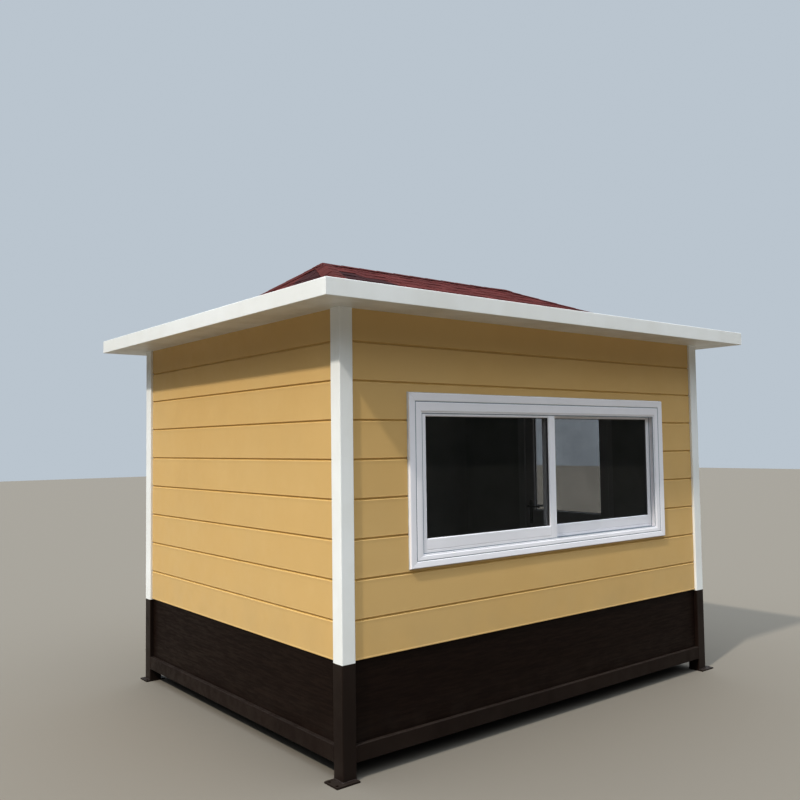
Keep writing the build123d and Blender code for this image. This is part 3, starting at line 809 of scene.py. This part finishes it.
for side in wallAxes:
    stands = ["roof_slope_" + side]
    piece("shingles_" + side, "cabin", stands, slopeSurfaces(shingles, side), sharp=28.0)


caps = {"exposure": 0.143, "overlap": 1.18, "half": 0.055, "fold": 0.006, "sheet": 0.002, "clear": 0.0003,
        "nose": 0.05, "starter": 0.075, "darkRun": 0.5, "crease": 0.007, "wing": 0.012, "uneven": 0.0015,
        "shift": 0.0012}


def beside(heading):      # level, to the left of the way
    flat = unit(np.array(heading[:2]))
    return np.array([-flat[1], flat[0], 0.0])


# A tile folded over a hip or the ridge. Its sides fall at their rates times sqrt(v^2 + r^2) - r(1 - v^2/h^2),
# h being half its width, so that the fold is round and the edges lie on the roof. A nose falls at its own
# rate past the start
def capTile(values, start, heading, falls, length, layers, tone, dice, noseRate=0.0):
    along = length * np.array([0, 0.008, 0.3, 0.6, 1])
    if noseRate:
        along = np.concatenate([values["nose"] * np.array([-1, -0.98, -0.7, -0.4, -0.15]), along])
    along = along[:, None]
    half = values["half"] + dice.uniform(-values["uneven"], values["uneven"], 2)
    radius, crease, wing, shift = (values[key] for key in ("fold", "crease", "wing", "shift"))
    ends = (-half[0], -wing), (-crease, crease), (wing, half[1])
    v = np.concatenate([np.linspace(*pair, 5) for pair in ends])
    seat = 1 - (v / values["half"]) ** 2
    drop = np.where(v < 0, falls[0], falls[1]) * (np.hypot(v, radius) - radius * seat)
    drop = np.maximum(drop, noseRate * (np.hypot(np.minimum(along, 0), radius) - radius))
    lift = values["clear"] + values["sheet"] * (layers - np.maximum(along, 0) / values["exposure"])
    spine = start + along[..., None] * np.array(heading)
    outer = spine + (v + dice.uniform(-shift, shift))[:, None] * beside(heading)
    outer = outer + (lift - drop)[..., None] * zUp
    keep = np.ones((len(along) - 1, len(v) - 1), bool)
    return coat(thickSheet(outer, outer - values["sheet"] * zUp, keep)[:3], "cap", tone)


# Tiles from start to end, the butt of each on the one before it
def capRun(values, start, end, falls, seed, noseRate=0.0, darkUntil=0.0):
    dice = np.random.default_rng(seed)
    start, end = np.array(start, float), np.array(end, float)
    whole = np.linalg.norm(end - start)
    heading = (end - start) / whole
    made = [] if noseRate else [capTile(values, start, heading, falls, values["starter"], 1, 0.4, dice)]
    for spot in np.arange(0, whole - 0.03, values["exposure"]):
        length = min(values["exposure"] * values["overlap"], whole - spot)
        nose = noseRate if spot == 0 else 0.0
        tone = -1.0 if spot < darkUntil else dice.uniform(0, 1)
        made.append(capTile(values, start + heading * spot, heading, falls, length, 2, tone, dice, nose))
    return made


def sideFall(heading, gradient):      # how fast a plane falls away beside a line that lies in it
    return abs(np.dot(gradient, beside(heading)[:2]))


longRate, endRate = (ridgeTop - roofBase) / eaveY, (ridgeTop - roofBase) / (eaveX - ridgeX)
capTiles = []
for number, (x, y) in enumerate(((-1, -1), (1, -1), (1, 1), (-1, 1))):
    start, end = (x * eaveX, y * eaveY, roofBase), (x * ridgeX, 0, ridgeTop)
    heading = np.subtract(end, start)
    longSide, endSide = sideFall(heading, (0, longRate)), sideFall(heading, (endRate, 0))
    falls = (longSide, endSide) if x * y > 0 else (endSide, longSide)       # right and left of the climb
    capTiles += capRun(caps, start, end, falls, 60 + number, darkUntil=0.0 if number else caps["darkRun"])
ends = np.array([(-ridgeX, 0, ridgeTop), (ridgeX, 0, ridgeTop)])
falls = (longRate, longRate)
capTiles += capRun(caps, *ends, falls, 70, endRate)
dice = np.random.default_rng(74)
capTiles.append(capTile(caps, ends[1], (-1, 0, 0), falls, caps["exposure"], 3, 0.5, dice, endRate))
piece("shingle_caps", "cabin", ["roof_caps"], capTiles, sharp=30.0)


def sealBead(side, rect, face, width=0.0035):         # a thin fillet between a frame and the wall
    profile = [(0, face - 0.002), (0, face + 0.0002), (0.35, face + width * 0.35), (1.3, face + width),
               (1.3, face - 0.002)]
    return ringBetween(side, grow(rect, width), rect, profile, "sealant")


# Profiles. The falls of a face are pairs of a share of the way in and how far it lies under the face
def onBase(base, face, falls):        # a face that goes down to its base at both ends
    return [(falls[0][0], base), *((share, face - fall) for share, fall in falls), (falls[-1][0], base)]


def bothFaces(back, front, falls):    # the same falls on both faces of a bar
    return ([(share, front - fall) for share, fall in falls]
            + [(share, back + fall) for share, fall in falls[::-1]])


# Window. Casing and frame with two tracks, then a front sash and one behind it
window = {"casing": (0.046, 0.036, 0.046), "frame": (0.036, 0.022, 0.048), "rib": 0.008, "face": 1.164,
          "ribs": (1.156, 1.128, 1.1), "gap": 0.0056, "fall": 0.0026, "stile": 0.04, "meeting": 0.057,
          "top": 0.026, "bottom": 0.084, "bead": 0.006, "slant": 0.0045, "gasket": 0.0035, "line": 0.026}
paneHalf = 0.003
mitreDip = 0.0005
beadDip = 0.0004


def within(rect, widths):             # the rectangle inside a frame of the given side, bottom and top widths
    return rect[0] + widths[0], rect[1] - widths[0], rect[2] + widths[1], rect[3] - widths[2]


casingInner = within(casingRect, window["casing"])
sashRoom = within(casingInner, window["frame"])


def windowSurround(values):
    wall, face, gap, slant = frontFace, values["face"], values["gap"], values["fall"]
    casing = onBase(wall - 0.0015, casingFace, [
        (0, 0.0035), (0.03, 0.0015), (0.075, 0.0004), (0.13, 0), (0.8, slant), (0.86, slant + 0.0006),
        (0.9, slant + 0.0018), (0.925, slant + 0.004)])
    front = onBase(wall - 0.001, face, [(0, 0.0026), (0.04, 0.0008), (0.09, 0), (0.9, slant / 2),
                                        (0.96, slant / 2 + 0.0007), (1.0, slant / 2 + 0.002)])
    # The grey seal in the groove between casing and frame is set wide and dark: a real seal that also paints
    # the shade line in the groove
    gasket = onBase(face - 0.006, face, [(0, 0.0018), (0.3, 0.0012), (0.7, 0.0012), (1, 0.0018)])
    body = [(0, frameBack + 0.002), (0.03, frameBack), (0.93, frameBack), (1, frameBack + 0.002), (1, wall),
            (0, wall)]
    rows = [(casingRect, casingInner, casing, "plastic", mitreDip),
            (casingInner, sashRoom, front, "plastic", mitreDip),
            (grow(casingInner, gap), grow(casingInner, -0.0006), gasket, "seal"),
            (windowCut, sashRoom, body, "plastic")]
    made = [ringBetween("front", *row) for row in rows] + [sealBead("front", casingRect, wall)]
    rib = [(-0.1, -0.002), (0.86, -0.002), (1, -0.0011), (1, 0.0011), (0.86, 0.002), (-0.1, 0.002)]
    # Pile strips run past the ribs' edges, so their grey paints the shade line between frame and sash as well
    # as the pile
    pileAndShade = [(-0.1, -0.0019), (1.6, -0.0019), (1.6, -0.0008), (1.5, -0.0003), (-0.1, -0.0003)]
    for middle in values["ribs"]:
        for profile, finish in ((rib, "plastic"), (pileAndShade, "seal")):
            profile = np.add(profile, (0, middle))
            made.append(ringBetween("front", sashRoom, grow(sashRoom, -values["rib"]), profile, finish))
    return made


# Mitred beads round the glass, slanting to it on both faces, and a rubber lip against each face of the pane
def glazing(side, opening, back, front, values):
    slant, middle = values["slant"], (back + front) / 2
    falls = [(0, 0.0006), (0.12, 0.0004), (0.22, 0.0004), (0.9, slant), (1, slant + 0.0009)]
    profile = bothFaces(back, front, falls)
    made = [ringBetween(side, grow(opening, values["bead"]), opening, profile, "plastic", beadDip)]
    lip = [(-0.4, -0.0006), (-0.4, 0.0022), (0.35, 0.0022), (0.8, 0.0013), (1, 0.0003), (1, -0.0006)]
    for out in (-1, 1):
        profile = np.multiply(lip, (1, out)) + (0, middle + out * paneHalf)
        made.append(ringBetween(side, opening, grow(opening, -values["gasket"]), profile, "rubber"))
    return made


def sashSurfaces(values, name, flip):     # flip is 1 where the meeting stile is at the right, otherwise -1
    rect, back, front = wallRect("front", name)
    left, right, bottom, top = rect
    stiles = (values["stile"], values["meeting"])[::flip]
    opening = (left + stiles[0], right - stiles[1], bottom + values["bottom"], top - values["top"])
    hole = grow(opening, values["bead"])
    lying = (hole[0] - 0.001, hole[1] + 0.001)
    line = bottom + values["line"]
    rows = [(left, hole[0], bottom, top, 0, 1, 0.0022), (hole[1], right, bottom, top, 0, 1, 0.0022),
            (*lying, hole[3], top, 0.0003, 0, 0.0018), (*lying, bottom, line, 0.0003, 0, 0.0014),
            (*lying, line + 0.0014, hole[2], 0.0003, 0, 0.0014),
            (*lying, bottom + 0.004, hole[2] - 0.004, 0.004, 0, 0.001)]
    return frameBars("front", back, front, rows) + glazing("front", opening, back, front, values)


piece("window_surround", "cabin", ["window_frame"], windowSurround(window))
piece("sash_front_left", "cabin", ["window_sash_left"],
      sashSurfaces(window, "window_sash_left", 1))
piece("sash_back_right", "cabin", ["window_sash_right"],
      sashSurfaces(window, "window_sash_right", -1))


# Door in the right end wall
door = {"stop": 0.022, "stopDepth": 0.023, "gap": 0.007, "stile": 0.092, "bottom": 0.15,
        "glassBottom": 1.013, "recess": 0.009, "bead": 0.006, "slant": 0.0045, "gasket": 0.0035,
        "panelBead": 0.012}
leafRect, leafBack, leafFace = wallRect("right", "door_leaf")
doorOpening = grow(leafRect, door["gap"])
doorCut = (doorLow, doorHigh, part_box("door_frame")[0].z, doorTop)


def doorSurround(values):
    back, face = roomX, leafFace
    depth = back + values["stopDepth"]
    jamb = [(0, back), (0.92, back), (1, back + 0.003), (1, face - 0.003), (0.975, face - 0.001),
            (0.92, face), (0.12, face), (0.05, face - 0.0012), (0, face - 0.004)]
    stop = [(-0.02, back + 0.0005), (0.9, back + 0.0005), (1, back + 0.003), (1, depth - 0.002),
            (0.9, depth - 0.0004), (0.45, depth), (-0.02, depth)]
    seal = [(0.42, depth - 0.001), (0.78, depth - 0.001), (0.74, depth + 0.0022), (0.6, depth + 0.0038),
            (0.46, depth + 0.0022)]
    inner = grow(doorOpening, -values["stop"])
    rows = [(doorCut, doorOpening, jamb, "plastic", mitreDip),
            (doorOpening, inner, stop, "plastic", mitreDip), (doorOpening, inner, seal, "rubber")]
    return [ringBetween("right", *row) for row in rows] + [sealBead("right", doorCut, sideFace)]


# Circles carried outwards or upwards on the door's wall, with a place and a radius for each
def rod(centre, places, radii, around=24, upright=False):
    angle = np.linspace(0, 2 * np.pi, around, endpoint=False)
    radii, places = np.array(radii)[:, None], np.array(places)[:, None]
    first, second = centre[0] + radii * np.cos(angle), centre[1] + radii * np.sin(angle)
    rings = onWall("right", first, places, second) if upright else onWall("right", first, second, places)
    return coat(carried(rings), "metal")


def stub(centre, places, radius, less=0.001, around=16, upright=False):       # its last edge is broken
    return rod(centre, places, (radius, radius, radius - less), around, upright)


hinge = {"radius": 0.008, "pin": 0.004, "pinEnds": (-0.04, 0.046, 0.048), "height": 0.05, "flap": 0.032,
         "sheet": 0.003, "gap": 0.0005, "screw": 0.0038, "screwIn": 0.009}
hingeRect, _, hingeFront = wallRect("right", "door_hinges")
hingeMiddle = (hingeRect[0] + hinge["radius"], hingeFront - hinge["radius"])
hingeStarts = np.linspace(hingeRect[2], hingeRect[3] - hinge["height"], 3)


# Flap, barrel and three countersunk screws. towards is -1 for the fixed half and 1 for the moving one
def hingeHalf(values, start, towards):
    y, end, face = hingeMiddle[0], start + values["height"], leafFace + values["sheet"]
    low, high = sorted((y, y + towards * values["flap"]))
    ease, less = np.array([0, 0.0008, 0.002]), np.array([0.0014, 0.0005, 0])
    places = np.concatenate([start + ease, end - ease[::-1]])
    radii = values["radius"] - np.concatenate([less, less[::-1]])
    made = [wallBar("right", (low, start, leafFace - 0.0002), (high, end, face), 1, 0.0009, "metal"),
            rod(hingeMiddle, places, radii, upright=True)]
    for level in np.linspace(start + values["screwIn"], end - values["screwIn"], 3):
        spot = (y + towards * (values["flap"] - 0.01), level)
        made.append(stub(spot, (face - 0.001, face + 0.0003, face + 0.0007), values["screw"]))
    return made


def leafSurfaces(values):
    back, face = leafBack, leafFace
    left, right, bottom, top = leafRect
    stile, bead, recess = values["stile"], values["bead"], values["recess"]
    opening = (left + stile, right - stile, values["glassBottom"], top - stile)
    sunk = (opening[0], opening[1], bottom + values["bottom"], values["glassBottom"] - stile)
    hole, field = grow(opening, bead), grow(sunk, bead)
    lying = (hole[0] - 0.001, hole[1] + 0.001)
    rows = [(left, hole[0], bottom, top, 0, 1, 0.002), (hole[1], right, bottom, top, 0, 1, 0.002),
            (*lying, hole[3], top, 0.0003, 0, 0.002), (*lying, field[3], hole[2], 0.0003, 0, 0.002),
            (*lying, bottom, field[2], 0.0003, 0, 0.002), (*field, recess, 0, 0.001)]
    falls = [(0, 0.0004), (0.2, 0.0004), (0.75, recess - 0.0035), (0.86, recess - 0.003), (1, recess + 0.001)]
    inner = grow(sunk, bead - values["panelBead"])
    return (frameBars("right", back, face, rows) + glazing("right", opening, back, face, values)
            + [ringBetween("right", field, inner, bothFaces(back, face, falls), "plastic", beadDip)])


surround = doorSurround(door)
for start in hingeStarts:
    surround += hingeHalf(hinge, start - hinge["gap"] - hinge["height"], -1)
    surround.append(stub(hingeMiddle, np.add(start, hinge["pinEnds"]), hinge["pin"], upright=True))
movingHalves = sum((hingeHalf(hinge, start, 1) for start in hingeStarts), [])
piece("door_surround", "cabin", ["door_frame"], surround)
piece("door_panel", "door", ["door_leaf"], leafSurfaces(door))
piece("door_hinge_halves", "door", ["door_hinges"], movingHalves)


# Handle: a long plate and a lever on each face
handle = {"setback": 0.057, "plate": (0.015, 0.098), "plateCorner": 0.01, "plateMiddle": 0.992,
          "plateDepth": 0.006, "level": 1.04, "neck": 0.0078, "standOff": 0.038, "reach": 0.115,
          "height": 0.009, "depth": 0.007, "waist": 0.16, "sweep": 0.004, "key": 0.937, "cylinder": 0.0085,
          "keyhole": (0.0011, 0.0045), "screw": 0.0036, "screws": 0.086}


# Lever: sections with rounded corners from the neck to the tip, thinner in the middle, with rounded ends
def handleFace(values, face, out):
    y, level, middle = leafRect[1] - values["setback"], values["level"], values["plateMiddle"]
    depth, neck, reach, standOff = (values[key] for key in ("plateDepth", "neck", "reach", "standOff"))

    def over(*places):                # how far out on this face
        return face + out * np.array(places)

    inset = np.array([0, 0, 0.0004, 0.0014])
    rim = roundedRectangles(*(size - inset for size in (*values["plate"], values["plateCorner"])), 5)
    outs = over(-0.0004, depth - 0.0014, depth - 0.0004, depth)[:, None]
    made = [coat(carried(onWall("right", y + rim[..., 0], middle + rim[..., 1], outs)), "metal")]
    outs = over(depth - 0.001, depth + 0.003, depth + 0.0042, depth + 0.006, standOff)
    made.append(rod((y, level), outs, neck + np.array([0.004, 0.004, 0.0028, 0, 0])))
    turn = np.linspace(0.25, np.pi / 2, 5)
    ends = values["height"] * np.cos(turn)
    places = np.concatenate([-ends, reach * np.linspace(0.06, 0.94, 9), reach + ends[::-1]])
    along = np.clip(places / reach, 0, 1)
    size = np.concatenate([np.sin(turn), np.ones(9), np.sin(turn)[::-1]])
    size = (size * (1 - values["waist"] * np.sin(np.pi * along)))[:, None]
    angle = np.linspace(0, 2 * np.pi, 20, endpoint=False)
    high, deep = (size * np.sign(wave) * np.abs(wave) ** 0.8 for wave in (np.sin(angle), np.cos(angle)))
    deep = standOff - values["sweep"] * along[:, None] ** 2 + values["depth"] * deep
    rings = onWall("right", y - places[:, None], level + values["height"] * high, face + out * deep)
    made.append(coat(carried(rings), "metal"))
    key, (halfSlot, slotRise) = values["key"], values["keyhole"]
    outs = over(depth - 0.001, depth + 0.0016, depth + 0.0024)
    made.append(stub((y, key), outs, values["cylinder"], 0.0008, 24))
    # The keyhole is a black bar just proud of the cylinder: painted shade where the slot would be
    low, high = sorted(over(depth + 0.001, depth + 0.0029))
    low, high = (y - halfSlot, key - slotRise, low), (y + halfSlot, key + slotRise, high)
    made.append(wallBar("right", low, high, 1, 0.0004, "rubber"))
    for height in (middle - values["screws"], middle + values["screws"]):
        outs = over(depth - 0.001, depth + 0.0004, depth + 0.0009)
        made.append(stub((y, height), outs, values["screw"]))
    return made


piece("lever_handle", "door", ["door_handle"],
      handleFace(handle, leafFace, 1) + handleFace(handle, leafBack, -1))

print("scene: done")
